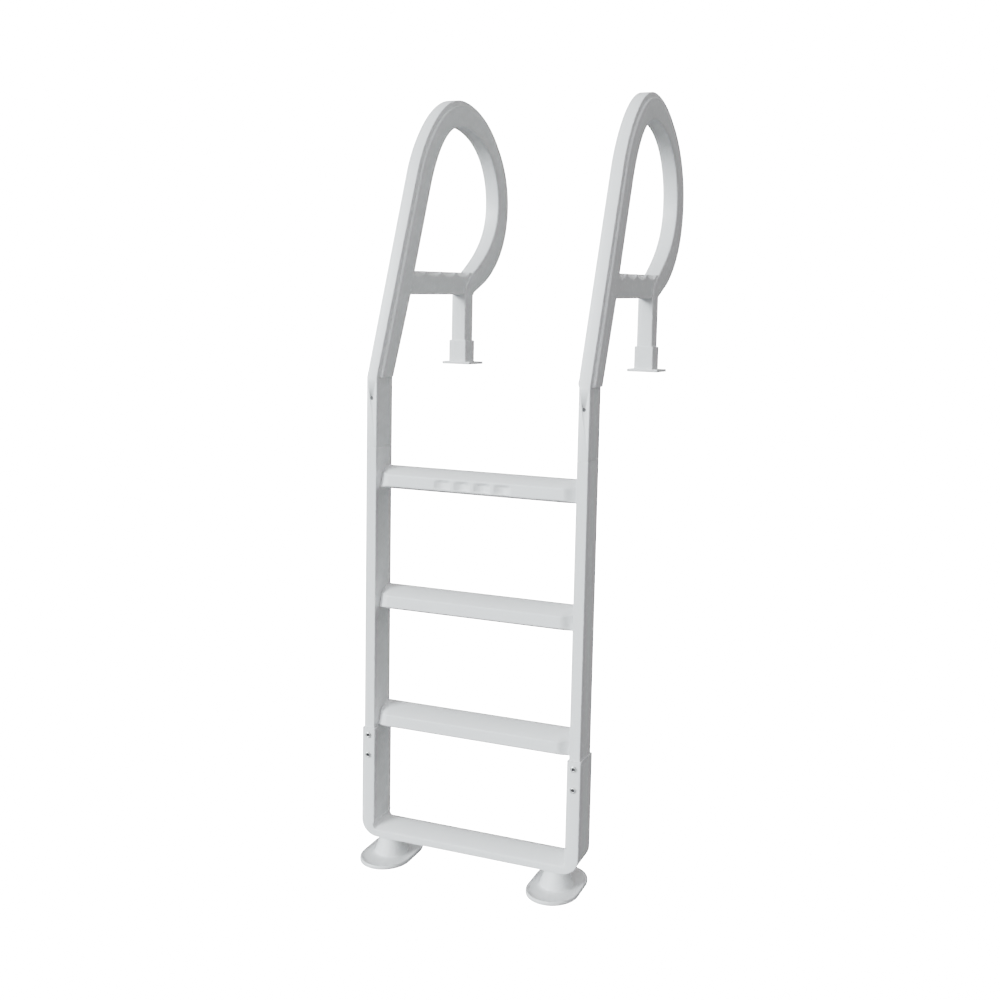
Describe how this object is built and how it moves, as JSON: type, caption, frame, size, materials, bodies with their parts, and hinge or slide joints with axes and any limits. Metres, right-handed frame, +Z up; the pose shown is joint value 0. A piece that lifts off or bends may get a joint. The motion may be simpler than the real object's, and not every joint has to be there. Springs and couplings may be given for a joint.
{
  "type": "pool_ladder",
  "caption": "White moulded resin in-pool ladder with looped handrails, hollow stiles, flat treads, telescoping U-shaped lower frame, swivelling feet and deck flanges",
  "frame": {"origin": "centre of the bounding box's bottom: on the pool floor, midway between the stiles and midway between the feet's front and the loops' back", "axes": "+X to the right seen from the pool, +Y back from the pool towards the deck, +Z up along the stiles"},
  "size_m": [0.6288, 0.7898, 1.94],
  "materials": {
    "white_resin": "white ultraviolet-stable resin with a soft satin surface",
    "pad_resin": "softer white resin foot pad, slightly duller than the frame",
    "stainless_steel": "stainless steel fasteners"
  },
  "bodies": {
    "upper": {"handrail_left": "white_resin", "stile_left": "white_resin", "deck_flange_left": "white_resin", "rail_screw_left": "stainless_steel", "rail_nut_left": "stainless_steel", "flange_screw_left": "stainless_steel", "handrail_right": "white_resin", "stile_right": "white_resin", "deck_flange_right": "white_resin", "rail_screw_right": "stainless_steel", "rail_nut_right": "stainless_steel", "flange_screw_right": "stainless_steel", "tread_top": "white_resin", "tread_middle": "white_resin", "tread_bottom": "white_resin"},
    "lower": {"lower_frame": "white_resin", "clamp_bar_left": "stainless_steel", "clamp_screw_left_1": "stainless_steel", "clamp_screw_left_2": "stainless_steel", "foot_bolt_left": "stainless_steel", "foot_nut_left": "stainless_steel", "clamp_bar_right": "stainless_steel", "clamp_screw_right_1": "stainless_steel", "clamp_screw_right_2": "stainless_steel", "foot_bolt_right": "stainless_steel", "foot_nut_right": "stainless_steel"},
    "foot_left": {"foot_left": "pad_resin"},
    "foot_right": {"foot_right": "pad_resin"}
  },
  "joints": [
    {"name": "lower_slide", "type": "slide", "parent": "upper", "child": "lower", "axis": [0, 0, -1], "range_m": [0, 0.15]},
    {"name": "foot_left_swivel", "type": "hinge", "parent": "lower", "child": "foot_left", "pos_m": [-0.224, -0.303, 0.03], "axis": [0, 0, 1], "continuous": true},
    {"name": "foot_right_swivel", "type": "hinge", "parent": "lower", "child": "foot_right", "pos_m": [0.224, -0.303, 0.03], "axis": [0, 0, 1], "continuous": true}
  ]
}
